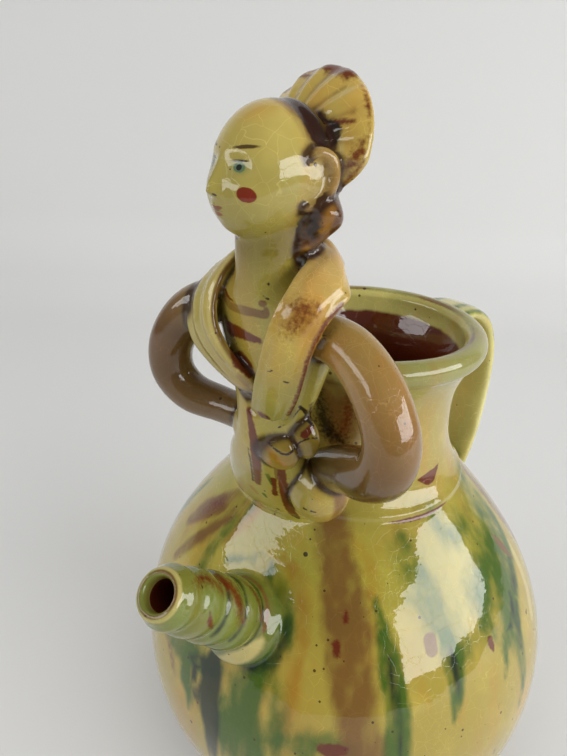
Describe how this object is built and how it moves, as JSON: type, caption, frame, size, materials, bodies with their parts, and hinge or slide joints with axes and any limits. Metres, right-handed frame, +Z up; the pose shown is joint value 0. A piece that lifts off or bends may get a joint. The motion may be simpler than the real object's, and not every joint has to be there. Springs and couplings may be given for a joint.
{
  "type": "figural ewer",
  "caption": "Round glazed earthenware jug with a ringed spout, a strap handle and the modelled half figure of a woman in a pleated bonnet on the front of its neck.",
  "frame": {"origin": "centre of the underside of the foot, on the surface the ewer stands on", "axes": "+Z up along the jug's own axis; the spout and the figure face -Y; the handle is at +Y, turned 12 degrees towards +X; the figure's left arm is at +X"},
  "size_m": [0.18, 0.2026, 0.3088],
  "materials": {
    "lead_glaze": "glossy"
  },
  "bodies": {
    "root": {"ewer": "lead_glaze"}
  },
  "joints": []
}
